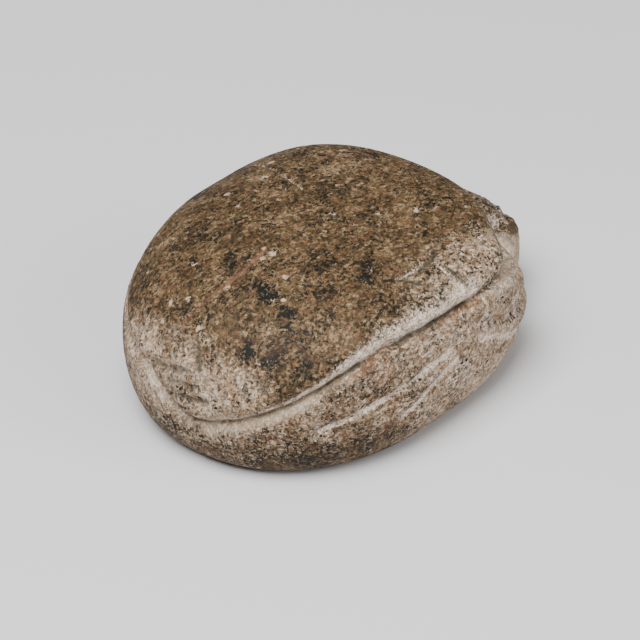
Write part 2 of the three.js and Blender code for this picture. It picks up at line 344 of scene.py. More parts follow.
# Fine carving: straight cuts, each with the side it is seen from, its two ends, its depth and width, how pale
# its bottom is, and how much painted shadow lies along it, from 0 to 1
STROKES = (
    ("top", (0.1, 4.6), (3.0, 14.4), 0.16, 0.24, 0.8, 0.0),
    ("top", (-1.0, 5.4), (-0.7, 10.6), 0.14, 0.22, 0.6, 0.0),
    ("top", (-0.1, -13.0), (0.6, -15.9), 0.24, 0.24, 0.8, 0.0),
    ("top", (0.7, -13.8), (1.3, -15.7), 0.14, 0.26, 0.0, 0.9),
    ("top", (-4.9, -12.2), (-1.5, -12.2), 0.18, 0.26, 0.8, 0.0),
    ("top", (-2.4, -12.7), (0.8, -12.0), 0.22, 0.28, 0.0, 0.9),
    ("top", (-4.7, -12.5), (-2.3, -14.7), 0.14, 0.26, 0.0, 0.7),
    ("tail", (3.3, 10.2), (-1.6, 11.0), 0.3, 0.36, 0.0, 0.8),
    ("tail", (0.3, 9.5), (-3.0, 9.9), 0.28, 0.34, 0.0, 0.8),
    ("tail", (-0.2, 8.3), (-4.0, 8.7), 0.3, 0.36, 0.0, 0.9),
    ("tail", (-1.6, 13.5), (-2.6, 11.8), 0.24, 0.34, 0.0, 1.0),
    ("right", (3.4, 14.0), (2.8, 10.7), 0.26, 0.28, 0.7, 0.0),
    ("right", (1.8, 9.4), (7.4, 6.5), 0.14, 0.34, 0.9, 0.0),
    ("right", (7.4, 6.5), (13.4, 4.6), 0.14, 0.34, 0.9, 0.0),
    ("right", (-22.3, 2.2), (-19.8, 5.2), 0.1, 0.35, 0.3, 0.0),
)
SIDES = {
    "top": Values(flat=(0, 1), axis=2, low=13.0, high=14.0),
    "tail": Values(flat=(1, 2), axis=0, low=-16.0, high=-18.0),
    "right": Values(flat=(0, 2), axis=1, low=-6.0, high=-9.0),
}
SUTURE = Values(start=-22.5, end=-10.2, fade=0.8, middle=-14.3, side=-0.4, bow=0.034, depth=0.07, width=0.22)
SUTURE_LOW_Z = 12.0
EDGE_CUT = Values(depth=0.34, width=0.2, above=-0.05, fade=122.0, end=134.0)
NECK_LINE = Values(depth=0.3, width=0.26)
NOTCH = Values(angle=24.0, spread=3.4, depth=0.6, z=5.6, rise=2.4)
FLUTES = Values(pitch=0.62, depth=0.1, half_width=4.6, end=5.4)
RIM_STEP = Values(centre_x=17.0, radius=5.7, blend=0.2, depth=0.3, width=0.3, low_z=5.5, high_z=7.0)
RIM_TEETH = Values(pitch=5.5, depth=0.12)

# Wear and weathering. Each pattern has the size of its bumps and a seed that sets it apart, and lots are
# drawn this many cells apart
LOT_STEP = 7.0
HAND = Values(wander=0.2, size=2.0, seeds=(17.0, 23.0, 31.0), uneven=0.35, uneven_seed=41.0)
BEVEL = Values(depth=0.2, start=0.2, upper_reach=2.3, lower_reach=1.5)
UPPER_BEVEL = Values(start=27.0, full=45.0, fade=92.0, end=112.0)
LOWER_BEVEL = Values(fade=32.0, end=52.0)
MARKS = Values(depth=0.04, length=2.6, width=0.16, above=-1.0, reach=4.0, seed=3.1)
UNDULATION = Values(depth=0.07, size=5.5)
GRAIN = Values(flank=0.045, back=0.01, low=-0.5, high=1.5, size=0.42, seed=5.0)
FINE_GRAIN = Values(share=0.6, size=GRAIN.size / 2.2, seed=9.0)
PITS = Values(depth=0.09, size=1.7, seed=2.0, radius=0.2, skipped=0.2)
CHIPS = Values(depth=0.22, size=1.5, seed=11.0, low=0.35, high=0.6, above=0.5, spread=0.6)

# Parts that the finishes share. Angles are in degrees from the tail
PATCHES = Values(size=3.0, seed=51.0)
FINE_PATCHES = Values(size=0.8, seed=57.0)
BODY_SIDES = Values(start=20.0, full=50.0, fade=110.0, end=128.0)
FRONT = Values(x=10.0, z=3.0)
HEAD_EDGE = Values(low=-0.2, high=0.3)
CROWN = Values(x=18.0, z=9.1, slope=0.45, ragged=0.3, patchy=0.2, low=-0.3, high=0.5)
CHEEK_RIDGE = Values(centre=(19.8, 4.5, 9.4), radii=(2.2, 0.6, 0.9))
# Painted shadow under the overhang of the head plate, on each cheek
CHEEK_SHADE = Values(centre=(21.4, 5.2, 8.0), radii=(2.0, 0.8, 0.8))
# Painted shade on the low part of the rear half, towards the underside
FOOT_SHADE = Values(low_z=2.8, high_z=8.0, ragged=1.3, back_x=-11.0, front_x=-3.0)
CRESCENT = Values(angle=120.0, spread=10.0, above=-0.9, rise=0.7)
CORNER_WEAR = Values(above=-0.8, rise=1.0)
BACK_Z = 9.0

# Pale cut stone
# Its last value takes paleness away at the foot, as painted shade
PALE = Values(low=-0.4, high=1.0, ragged=1.6, reach=1.5, full=0.5, uneven=0.15, soiled=0.5)
SHOULDER = Values(back_x=-13.0, front_x=1.0, outer_y=-13.5, inner_y=-6.0, reach=8.5, full=0.6)
PALE_TAIL = Values(full=14.0, end=32.0, low_z=10.8, high_z=15.2, ragged=1.2)
PALE_CROWN = Values(brown=0.8, stripes=0.4)

# Chalky bloom: its amount on each part, and where the parts without a shape of their own lie
BLOOM = Values(upper=1.5, lower=0.35, rim=0.9, legs=1.0, strokes=0.75, corner=0.15, crescent=0.35)
HEAD_BLOOM = Values(neck=0.8, ridge=0.9)
STREAKS = Values(amount=0.45, low=0.1, high=0.6, low_z=3.0, high_z=6.0)
RIM_BLOOM = Values(above=0.45, spread=0.4, start=8.0, full=16.0, fade=40.0, end=55.0)
LEG_BLOOM = Values(low=0.6, high=0.95)
NECK_BLOOM = Values(ahead=0.7, spread=0.5, low_z=7.0, high_z=8.5)
# Its last value thins the bloom at the foot, as painted shade
CHALK = Values(most=1.5, on_pale=0.4, plain=0.85, patchy=0.35, fine=0.3, soiled=0.3)
MOST_BLOOM = 1.25
RUBBED = Values(lower=1.2, corner=0.7, low=-0.9, high=0.5, fine=0.6)

# Painted shade in the cuts: along the edge groove, the front edge of the thorax and the neck, under the head
# plate and at the foot
GROOVE_SHADE = Values(above=-0.05, spread=0.3, least=0.2, fade=94.0, end=112.0)
GAPS = Values(size=3.5, seed=61.0, shift=0.25, low=-0.4, high=0.1)
FRONT_LINE = Values(amount=0.5, above=0.15, spread=0.25, start=112.0, full=124.0)
NECK_SHADOW = Values(amount=0.9, spread=0.25)
SHADE_DARKNESS = 0.7
# How dark the painted shade at the foot is
FOOT_SHADE_DARKNESS = 0.12

# Iron stain, and rust-brown for the painted shadow under the head plate
RUST_LINE = Values(amount=0.9, above=-0.4, spread=0.5, size=4.0, seed=67.0, low=-0.1, high=0.3)
RUST_SPOT = Values(amount=0.9, x=2.0, y=-7.0, radius=0.6)
RUST_STAIN = Values(amount=0.45, size=2.4, seed=71.0, low=0.15, high=0.5, edge=0.5)
SHADE_RUST = 0.5
VEIN = Values(faint=0.45, back_x=-18.5, front_x=-15.5, plain=0.85, fine=0.4)

# Crystals: how dense the dark ones lie, and the groups that stand out on the back, by x, y and radius
# The foot value lays dark specks at the foot as painted shade
DARK = Values(crown=0.4, foot=0.3, low_part=0.35, low_z=2.0, high_z=6.0, size=3.2, seed=77.0, full=0.6)
WANDER = Values(x=0.8, y=0.6)
DARK_GROUPS = (
    (-15.1, -4.4, 0.9), (-15.8, -7.6, 1.0), (-19.2, -8.8, 0.9), (-20.3, -6.3, 0.7),
    (-0.3, 6.6, 0.7), (-7.6, -10.0, 0.65), (-10.3, -5.5, 0.55), (-11.5, -8.5, 0.8),
)
CREAM_SPOTS = (
    (-11.7, -0.7, 0.36), (-10.5, -1.0, 0.42), (-10.5, 0.2, 0.3), (-12.5, -4.4, 0.36),
    (-16.5, -0.5, 0.34), (-19.1, 2.3, 0.34), (-21.0, -0.8, 0.34), (-14.9, -6.1, 0.3),
)


def ripple(points, size, seed=0.0):
    """Smooth noise from about -1 to 1 with bumps of the given size."""
    spots = points / size + seed
    return np.array([noise.noise(spot) for spot in spots.tolist()])


def cells(points, size, seed):
    """Distance to the nearest seed of a scattered pattern, in cells, and one lot per seed."""
    near = np.empty(len(points))
    lot = np.empty(len(points))
    for i, spot in enumerate((points / size + seed).tolist()):
        distances, seeds = noise.voronoi(spot)
        near[i] = distances[0]
        lot[i] = noise.cell(seeds[0] * LOT_STEP)
    return near, lot


def pattern(points, shape):
    """Smooth noise with a named size and seed."""
    return ripple(points, shape.size, shape.seed)


def fade_in(shape, value):
    """Rises from 0 to 1 between the low and high of a shape."""
    return smooth(shape.low, shape.high, value)


def between(shape, angle):
    """1 along a stretch of the stone's side, and 0 beyond it."""
    return smooth(shape.start, shape.full, angle) * (1.0 - smooth(shape.fade, shape.end, angle))


def from_tail(x, y):
    """Angle round the stone from the tail in degrees, the same on both sides."""
    return 180.0 - np.abs(turn_of(x, y))


def segment_distance(places, start, end):
    """Distance of flat places from a straight stroke, with pointed ends."""
    start = np.array(start)
    along = np.array(end) - start
    share = np.clip((places - start) @ along / (along @ along), 0.0, 1.0)
    return np.linalg.norm(places - start - share[:, None] * along, axis=1)


def seen_from(side, points):
    """The flat picture of the points from one side, and where that side of the stone is."""
    return points[:, side.flat], fade_in(side, points[:, side.axis])


def fine_strokes(points):
    """Depth, bloom and shadow of the thin cuts."""
    depth = np.zeros(len(points))
    bloom = np.zeros(len(points))
    shadow = np.zeros(len(points))
    for side, start, end, deep, width, pale, dark in STROKES:
        places, facing = seen_from(SIDES[side], points)
        cut = facing * groove(segment_distance(places, start, end), 1.0, width)
        depth = np.maximum(depth, deep * cut)
        bloom = np.maximum(bloom, pale * cut)
        shadow = np.maximum(shadow, dark * cut)
    return depth, bloom, shadow


def suture(points):
    """The faint line along the back, from 0 to 1."""
    x, y, z = points.T
    line = hill(y - SUTURE.side - SUTURE.bow * (x - SUTURE.middle) ** 2, 0.0, SUTURE.width)
    return line * stretch(x, SUTURE.start, SUTURE.end, SUTURE.fade) * (z > SUTURE_LOW_Z)


def sharp_lines(points):
    """Thin bottoms of the edge groove and neck cut, and the notch beside each cheek."""
    x, y, z = points.T
    on_body = 1.0 - smooth(EDGE_CUT.fade, EDGE_CUT.end, from_tail(x, y))
    edge = groove(above_edge(points) - EDGE_CUT.above, EDGE_CUT.depth, EDGE_CUT.width) * on_body
    neck = groove(pebble(x, y, z) - head(x, y, z), NECK_LINE.depth, NECK_LINE.width)
    notch = groove(np.abs(turn_of(x, y)) - NOTCH.angle, NOTCH.depth, NOTCH.spread)
    return edge + neck + notch * hill(z, NOTCH.z, NOTCH.rise)


def head_relief(points):
    """Ridges on the plate, and the small step and teeth of the front rim."""
    x, y, z = points.T
    ahead = smooth(FACE.back, FACE.full_x, x) * smooth(TEETH.low_z, TEETH.high_z, z)
    from_rim = np.hypot(x - RIM_STEP.centre_x, y) - RIM_STEP.radius
    rim = smooth(-RIM_STEP.blend, RIM_STEP.blend, from_rim)
    bearing = turn_of(x - RIM_STEP.centre_x, y)
    flutes = FLUTES.depth * wave(y, FLUTES.pitch)
    flutes = flutes * (1.0 - smooth(FLUTES.half_width, FLUTES.end, np.abs(y)))
    teeth = RIM_TEETH.depth * wave(bearing, RIM_TEETH.pitch)
    step = groove(from_rim, RIM_STEP.depth, RIM_STEP.width) * smooth(RIM_STEP.low_z, RIM_STEP.high_z, z)
    return ahead * (flutes * (1.0 - rim) + teeth * rim + step)


def above_edge(points):
    """Height above the groove that edges the back, in millimetres."""
    return points[:, 2] - edge_height(turn_of(points[:, 0], points[:, 1]))


def worn_bevel(points):
    """The rubbed slope beside the edge groove: above it along the flanks, below it round the tail."""
    above = above_edge(points)
    angle = from_tail(points[:, 0], points[:, 1])
    upper = between(UPPER_BEVEL, angle) * (above > 0)
    upper = upper * (1.0 - smooth(BEVEL.start, BEVEL.upper_reach, above))
    lower = (1.0 - smooth(LOWER_BEVEL.fade, LOWER_BEVEL.end, angle)) * (above < 0)
    lower = lower * (1.0 - smooth(BEVEL.start, BEVEL.lower_reach, -above))
    return upper, lower


def scratches(points):
    """Long thin marks that run round the stone beside the edge groove."""
    along = np.radians(turn_of(points[:, 0], points[:, 1])) * WIDTH / 2.0 / MARKS.length
    across = above_edge(points) / MARKS.width
    return ripple(np.stack([along, across, np.zeros(len(points))], axis=1), 1.0, MARKS.seed)


def spot(points, shape):
    """A soft spot, the same on both sides of the stone."""
    mirrored = np.stack([points[:, 0], np.abs(points[:, 1]), points[:, 2]], axis=1)
    return np.exp(-(((mirrored - shape.centre) / shape.radii) ** 2).sum(axis=1))


def weathering(points):
    """Depth of the stone's own unevenness: swells, grain, pits, tool marks and chipped edges."""
    above = above_edge(points)
    marks = MARKS.depth * scratches(points) * hill(above, MARKS.above, MARKS.reach)
    swell = UNDULATION.depth * ripple(points, UNDULATION.size)
    flank = 1.0 - fade_in(GRAIN, above)
    grain = pattern(points, GRAIN)
    grain = grain + FINE_GRAIN.share * pattern(points, FINE_GRAIN)
    grain = grain * (GRAIN.back + (GRAIN.flank - GRAIN.back) * flank)
    near, lot = cells(points, PITS.size, PITS.seed)
    pits = PITS.depth * hill(near, 0.0, PITS.radius) * (lot > PITS.skipped)
    chips = fade_in(CHIPS, pattern(points, CHIPS))
    chips = CHIPS.depth * chips * hill(above, CHIPS.above, CHIPS.spread)
    return marks + swell + grain + pits + chips


def hand_wander(points):
    """Small sideways drift of every cut, as a hand leaves it."""
    drift = [HAND.wander * ripple(points, HAND.size, seed) for seed in HAND.seeds]
    return np.stack(drift, axis=1)


def carve(points):
    """Moves the points of the uncarved stone inwards by the depth of all its cuts and wear."""
    cut_at = points + hand_wander(points)
    x, y, z = cut_at.T
    upper, lower = worn_bevel(cut_at)
    uneven = 1.0 + HAND.uneven * ripple(points, HAND.size, HAND.uneven_seed)
    on_stone = smooth(FOOT_EDGE.low_z, FOOT_EDGE.high_z, points[:, 2])
    cuts = carving(x, y, z) + on_stone * BEVEL.depth * (upper + lower)
    strokes, _, _ = fine_strokes(cut_at)
    fine = strokes + SUTURE.depth * suture(cut_at) + sharp_lines(cut_at) + head_relief(cut_at)
    depth = cuts + on_stone * (fine * uneven + weathering(points))
    carved = points - outward(points) * depth[:, None]
    carved[:, 2] = np.maximum(carved[:, 2], 0.0)
    return carved


def survey(points):
    """What the finishes share: where the cuts lie, the stone's parts, and uneven patches."""
    cut_at = points + hand_wander(points)
    x, y, z = cut_at.T
    at = Values(points=points, cut_at=cut_at, x=x, y=y, z=z, above=above_edge(cut_at))
    at.angle = from_tail(x, y)
    at.upper, at.lower = worn_bevel(cut_at)
    at.patchy = pattern(points, PATCHES)
    at.finer = pattern(points, FINE_PATCHES)
    at.sides = between(BODY_SIDES, at.angle)
    at.at_front = (x > FRONT.x) * (z > FRONT.z)
    at.ahead_of_neck = pebble(x, y, z) - head(x, y, z)
    at.on_head = fade_in(HEAD_EDGE, at.ahead_of_neck) * at.at_front
    crown_z = CROWN.z - CROWN.slope * (x - CROWN.x)
    crown = z - crown_z + CROWN.ragged * at.finer + CROWN.patchy * at.patchy
    at.crown = at.on_head * fade_in(CROWN, crown)
    at.ridge = at.on_head * spot(points, CHEEK_RIDGE)
    # Painted shadow under the head plate
    at.shade = at.on_head * spot(points, CHEEK_SHADE)
    # Painted shade on the low part of the rear half
    foot = 1.0 - smooth(FOOT_SHADE.low_z, FOOT_SHADE.high_z, z + FOOT_SHADE.ragged * at.patchy)
    at.foot = foot * (1.0 - smooth(FOOT_SHADE.back_x, FOOT_SHADE.front_x, x))
    corner = hill(np.abs(turn_of(x, y)), CORNER.angle, CORNER.spread)
    at.corner = corner * hill(at.above, CORNER_WEAR.above, CORNER_WEAR.rise)
    crescent = hill(at.angle, CRESCENT.angle, CRESCENT.spread)
    at.crescent = crescent * hill(at.above, CRESCENT.above, CRESCENT.rise)
    return at


def on_back(at, x, y, radius, wander_x=0.0, wander_y=0.0):
    """A round spot on the back, with an outline as uneven as asked."""
    away = np.hypot(at.x - x + wander_x * at.finer, at.y - y + wander_y * at.patchy)
    return hill(away, 0.0, radius) * (at.z > BACK_Z)


def pale_paint(at):
    """Pale cut stone: the flanks, the face of the tail, the near shoulder, and the head but its crown, dimmed
    by painted shade.
    """
    shoulder = smooth(SHOULDER.back_x, SHOULDER.front_x, at.x)
    shoulder = shoulder * (1.0 - smooth(SHOULDER.outer_y, SHOULDER.inner_y, at.y))
    reach = PALE.reach + SHOULDER.reach * shoulder
    pale = 1.0 - fade_in(PALE, (at.above + PALE.ragged * at.patchy) / reach)
    pale = pale * (PALE.full + SHOULDER.full * shoulder + PALE.uneven * at.patchy)
    tail = 1.0 - smooth(PALE_TAIL.full, PALE_TAIL.end, at.angle)
    tail_z = at.z + PALE_TAIL.ragged * at.patchy
    pale = np.maximum(pale, tail * (1.0 - smooth(PALE_TAIL.low_z, PALE_TAIL.high_z, tail_z)))
    pale = pale * (1.0 - PALE.soiled * at.foot)
    stripes = 1.0 - wave(at.y, FLUTES.pitch)
    head_pale = 1.0 - at.crown * (PALE_CROWN.brown - PALE_CROWN.stripes * stripes)
    return pale * (1.0 - at.on_head) + at.on_head * head_pale * (1.0 - at.shade)


def leg_bloom(at):
    """The bottoms of the leg grooves on the right flank."""
    strokes = [arched_stroke(leg, at.x, at.z) / leg.depth for leg in (MIDDLE_LEG, HIND_LEG)]
    return fade_in(LEG_BLOOM, sum(strokes)) * (at.y < 0)


def chalk_paint(at, pale, stroke_bloom):
    """Bloom on the worn slopes and corners, in the leg grooves and strokes, and along the neck, less in the
    painted shade at the foot.
    """
    rim = hill(at.above, RIM_BLOOM.above, RIM_BLOOM.spread)
    rim = rim * between(RIM_BLOOM, at.angle) * (at.y < 0)
    neck = hill(at.ahead_of_neck, NECK_BLOOM.ahead, NECK_BLOOM.spread) * at.at_front
    neck = neck * smooth(NECK_BLOOM.low_z, NECK_BLOOM.high_z, at.z)
    streaks = fade_in(STREAKS, scratches(at.cut_at))
    streaks = streaks * (at.above < 0) * smooth(STREAKS.low_z, STREAKS.high_z, at.z)
    chalk = BLOOM.upper * at.upper + BLOOM.lower * at.lower + BLOOM.rim * rim
    chalk = chalk + BLOOM.legs * leg_bloom(at) + BLOOM.strokes * stroke_bloom
    chalk = chalk + BLOOM.corner * at.corner + BLOOM.crescent * at.crescent
    chalk = chalk + HEAD_BLOOM.neck * neck + HEAD_BLOOM.ridge * at.ridge + STREAKS.amount * streaks
    spread = CHALK.plain + CHALK.patchy * at.patchy + CHALK.fine * at.finer
    spread = spread * (1.0 - CHALK.soiled * at.foot)
    return (np.clip(chalk, 0.0, CHALK.most) + CHALK.on_pale * pale) * spread


def rubbed_paint(at):
    """Cut stone rubbed smooth: the cheeks, the slope round the tail and the corners of the thorax."""
    rubbed = at.on_head * (1.0 - at.crown) * (1.0 - at.shade)
    rubbed = rubbed + RUBBED.lower * at.lower + at.crescent + RUBBED.corner * at.corner
    patches = fade_in(RUBBED, at.patchy + RUBBED.fine * at.finer)
    return np.clip(rubbed, 0.0, 1.0) * patches


def shade_paint(at, stroke_shadow):
    """Painted shade along the bottoms of the edge groove, the front edge of the thorax, the neck cut and some
    strokes, under the head plate and at the foot.
    """
    line = hill(at.above, GROOVE_SHADE.above, GROOVE_SHADE.spread)
    line = line * (GROOVE_SHADE.least + (1.0 - GROOVE_SHADE.least) * at.sides)
    line = line * (1.0 - smooth(GROOVE_SHADE.fade, GROOVE_SHADE.end, at.angle))
    gaps = pattern(at.points, GAPS) + GAPS.shift
    line = line * fade_in(GAPS, gaps)
    front = FRONT_LINE.amount * hill(at.above, FRONT_LINE.above, FRONT_LINE.spread)
    front = front * smooth(FRONT_LINE.start, FRONT_LINE.full, at.angle)
    neck = NECK_SHADOW.amount * hill(at.ahead_of_neck, 0.0, NECK_SHADOW.spread) * at.at_front
    return line + neck + SHADE_DARKNESS * at.shade + FOOT_SHADE_DARKNESS * at.foot + stroke_shadow + front


def rust_and_shade_paint(at):
    """Iron stain along the edge groove, in patches below it, and in one spot on the back, and rust-brown
    painted shadow under the head plate.
    """
    line = RUST_LINE.amount * hill(at.above, RUST_LINE.above, RUST_LINE.spread) * at.sides
    line = line * fade_in(RUST_LINE, pattern(at.points, RUST_LINE))
    stain = pattern(at.points, RUST_STAIN)
    stain = RUST_STAIN.amount * fade_in(RUST_STAIN, stain) * (1.0 - at.on_head)
    stain = stain * (1.0 - smooth(-RUST_STAIN.edge, RUST_STAIN.edge, at.above))
    red_spot = RUST_SPOT.amount * on_back(at, RUST_SPOT.x, RUST_SPOT.y, RUST_SPOT.radius)
    return line + red_spot + stain + SHADE_RUST * at.shade


def vein_paint(at):
    """The reddish vein along the suture, fainter towards the tail."""
    fade = VEIN.faint + (1.0 - VEIN.faint) * smooth(VEIN.back_x, VEIN.front_x, at.x)
    return suture(at.cut_at) * fade * (VEIN.plain + VEIN.fine * at.finer)


def dark_paint(at):
    """Where the dark crystals lie dense: the crown of the head, patches low down, and groups on the back;
    painted shade at the foot.
    """
    low_part = smooth(0.0, DARK.full, pattern(at.points, DARK))
    low_part = low_part * (1.0 - smooth(DARK.low_z, DARK.high_z, at.z))
    dark = DARK.crown * at.crown + DARK.foot * at.foot + DARK.low_part * low_part
    groups = [on_back(at, *group, WANDER.x, WANDER.y) for group in DARK_GROUPS]
    return np.maximum(dark, np.max(groups, axis=0))


def cream_paint(at):
    """The large cream crystals that stand out on the back."""
    return np.max([on_back(at, *crystal) for crystal in CREAM_SPOTS], axis=0)


def paints(points):
    """How much of each finish lies on each point."""
    at = survey(points)
    _, stroke_bloom, stroke_shadow = fine_strokes(at.cut_at)
    pale = pale_paint(at)
    return {
        "pale": np.clip(pale, 0.0, 1.0),
        "chalk": np.clip(chalk_paint(at, pale, stroke_bloom), 0.0, MOST_BLOOM),
        "rubbed": rubbed_paint(at),
        # Painted shade in the cuts, under the head plate and at the foot
        "crevice": np.clip(shade_paint(at, stroke_shadow), 0.0, 1.0),
        "rust_and_shade": np.clip(rust_and_shade_paint(at), 0.0, 1.0),
        "vein": np.clip(vein_paint(at), 0.0, 1.0),
        "dark": np.clip(dark_paint(at), 0.0, 1.0),
        "cream": cream_paint(at),
    }


def fit_to(low, high, points):
    """Stretches the points by a hair so that they fill the CAD node's box. Works in metres."""
    lowest = points.min(axis=0)
    size = points.max(axis=0) - lowest
    return np.array(low) + (points - lowest) * (np.array(high) - np.array(low)) / size


def make_stone():
    """Lays a sphere's grid over the stone, carves it, and paints where each finish lies."""
    rows = BASE_ROWS + WALL_ROWS + BACK_ROWS
    bpy.ops.object.select_all(action="DESELECT")
    bpy.ops.mesh.primitive_uv_sphere_add(segments=COLUMNS, ring_count=rows, radius=1.0, location=(0, 0, 0))
    stone = bpy.context.object
    stone.name = "carved_stone"
    mesh = stone.data
    grid = np.empty(len(mesh.vertices) * 3)
    mesh.vertices.foreach_get("co", grid)
    grid = grid.reshape(-1, 3)
    turn_share = np.arctan2(grid[:, 1], grid[:, 0]) / (2.0 * np.pi) + 0.5
    height_share = np.arcsin(np.clip(grid[:, 2], -1.0, 1.0)) / np.pi + 0.5
    column = np.round(turn_share * COLUMNS).astype(int) % COLUMNS
    row = np.round(height_share * rows).astype(int)
    column[(row == 0) | (row == rows)] = COLUMNS // 2
    points = lay_grid(column, row)
    carved = carve(points)
    for name, values in paints(points).items():
        layer = mesh.attributes.new(name, "FLOAT", "POINT")
        layer.data.foreach_set("value", values.astype(np.float32))
    places = fit_to(*STONE_BOX, carved * MM)
    mesh.vertices.foreach_set("co", places.ravel())
    mesh.update()
    bpy.ops.object.shade_smooth()
    return stone


# Patterns of the stone's material: noise has a scale, detail and roughness, and a mask its two limits
DRIFT = Values(scale=2.2, detail=2.0, reach=0.6)
STRETCH = 1.15
GRAINS = Values(scale=2.1, share=0.16)
MOTTLE = Values(scale=2.8, detail=4.0, roughness=0.72)
SWELL = Values(scale=0.35, detail=2.0, roughness=0.5, share=0.32)
WARM = Values(scale=1.1, detail=3.0, roughness=0.6, low=0.53, high=0.64, back=0.45, cut=0.5)
COOL = Values(scale=0.75, detail=3.0, roughness=0.6, low=0.55, high=0.63, cut=0.45)
CUT_EDGE = Values(ragged=1.2, low=0.1, high=0.9)
SEAMS = Values(scale=1.6, ragged=0.2, low=0.17, high=0.1, amount=0.5)
CRYSTALS = Values(scale=0.75, ragged=0.4, low=0.46, high=0.38, rarity=0.93)
CREAM_EDGE = Values(ragged=0.8, low=0.35, high=0.6)
CLUSTERS = Values(scale=0.42, detail=3.0, roughness=0.6, share=0.43)
SPECKS = Values(scale=3.1, detail=4.0, roughness=0.7, painted=0.15, pale=0.03, low=0.755, high=0.8)
STAINS = Values(scale=0.3, detail=4.0, roughness=0.65, low=0.56, high=0.68, scattered=0.25, painted=0.75)
STAIN_GRAIN = Values(low=0.35, high=0.6)
DUST = Values(scale=3.4, detail=3.0, roughness=0.75, painted=0.3, low=0.60, high=0.90, amount=0.92)
POWDER = Values(scale=4.2, detail=3.0, roughness=0.7)
COVER = Values(rubbed=0.55, crevice=0.85, vein=0.65)
SHEEN = Values(roughness=0.62, pale_roughness=0.25, specular=0.15)
GRIT = Values(scale=5.0, detail=3.0, roughness=0.5, grain=0.5, strength=0.5, depth=0.05)


class Recipe:
    """Adds and joins the nodes of one material."""

    def __init__(self, name):
        self.material = bpy.data.materials.new(name)
        self.material.use_nodes = True
        self.tree = self.material.node_tree
        self.shader = self.tree.nodes["Principled BSDF"]

    def add(self, kind, inputs, **settings):
        node = self.tree.nodes.new(kind)
        for name, value in settings.items():
            setattr(node, name, value)
        for name, value in inputs.items():
            self.feed(node.inputs[name], value)
        return node

    def feed(self, socket, value):
        if isinstance(value, bpy.types.NodeSocket):
            self.tree.links.new(value, socket)
        else:
            socket.default_value = value

    def math(self, operation, a, b):
        return self.add("ShaderNodeMath", {0: a, 1: b}, operation=operation).outputs[0]

    def plus(self, value, more, share):
        """Adds a share of one value to another."""
        return self.math("ADD", value, self.math("MULTIPLY", more, share))

    def ragged(self, value, pattern, amount):
        """Shifts a value up and down by a pattern whose middle is a half."""
        return self.plus(value, self.math("SUBTRACT", pattern, 0.5), amount)

    def mix(self, factor, a, b):
        node = self.add("ShaderNodeMix", {0: factor}, data_type="RGBA")
        self.feed(node.inputs[6], a)
        self.feed(node.inputs[7], b)
        return node.outputs[2]

    def cover(self, colour, amount, share, top):
        """Lays a colour over another, by an amount that differs over the surface."""
        return self.mix(self.math("MULTIPLY", amount, share), colour, (*top, 1.0))

    def paint(self, name):
        return self.add("ShaderNodeAttribute", {}, attribute_name=name).outputs["Fac"]

    def noise(self, place, pattern):
        inputs = {"Vector": place, "Scale": pattern.scale, "Detail": pattern.detail}
        inputs["Roughness"] = pattern.roughness
        return self.add("ShaderNodeTexNoise", inputs).outputs["Fac"]

    def patches(self, place, pattern):
        return self.mask(self.noise(place, pattern), pattern)

    def grains(self, place, scale):
        """A mosaic of grains: distance from each grain's middle, and one lot per grain."""
        node = self.add("ShaderNodeTexVoronoi", {"Vector": place, "Scale": scale})
        lots = self.add("ShaderNodeSeparateColor", {"Color": node.outputs["Color"]})
        return node.outputs["Distance"], lots.outputs["Red"]

    def mask(self, value, limits):
        inputs = {"Value": value, "From Min": limits.low, "From Max": limits.high}
        node = self.add("ShaderNodeMapRange", inputs, interpolation_type="SMOOTHSTEP")
        return node.outputs["Result"]

    def ramp(self, value, stops):
        node = self.add("ShaderNodeValToRGB", {"Fac": value})
        band = node.color_ramp
        for _ in stops[2:]:
            band.elements.new(0.5)
        for element, (position, colour) in zip(band.elements, stops):
            element.position = position
            element.color = (*colour, 1.0)
        return node.outputs["Color"]


def stone_places(recipe):
    """Places in the stone in millimetres, stretched along the body, straight and with a small drift."""
    place = recipe.add("ShaderNodeTexCoord", {}).outputs["Object"]
    inputs = {"Vector": place, "Scale": (1.0 / MM / STRETCH, 1.0 / MM, 1.0 / MM)}
    place = recipe.add("ShaderNodeMapping", inputs).outputs["Vector"]
    inputs = {"Vector": place, "Scale": DRIFT.scale, "Detail": DRIFT.detail}
    drift = recipe.add("ShaderNodeTexNoise", inputs).outputs["Color"]
    drift = recipe.add("ShaderNodeVectorMath", {0: drift, 1: (-0.5, -0.5, -0.5)}, operation="ADD").outputs[0]
    drift = recipe.add("ShaderNodeVectorMath", {0: drift, "Scale": DRIFT.reach}, operation="SCALE").outputs[0]
    bent = recipe.add("ShaderNodeVectorMath", {0: place, 1: drift}, operation="ADD").outputs[0]
    return place, bent


def mineral_grains(recipe, look, place, bent, mottle, lot):
    """The two mosaics of grains, brown on the rubbed back and pale where the stone is cut."""
    back_stops = (
        (0.33, look.umber), (0.42, look.bark), (0.50, look.brown), (0.59, look.tan), (0.72, look.cream),
    )
    cut_stops = (
        (0.33, look.slate), (0.43, look.clay), (0.51, look.sand), (0.60, look.oat), (0.71, look.bone),
    )
    tone = recipe.ragged(mottle, lot, GRAINS.share)
    tone = recipe.ragged(tone, recipe.noise(place, SWELL), SWELL.share)
    warm = recipe.patches(bent, WARM)
    back = recipe.cover(recipe.ramp(tone, back_stops), warm, WARM.back, look.blush)
    cut = recipe.cover(recipe.ramp(tone, cut_stops), warm, WARM.cut, look.ochre)
    cut = recipe.cover(cut, recipe.patches(bent, COOL), COOL.cut, look.pewter)
    edge = recipe.ragged(recipe.paint("pale"), mottle, CUT_EDGE.ragged)
    return recipe.mix(recipe.mask(edge, CUT_EDGE), back, cut)


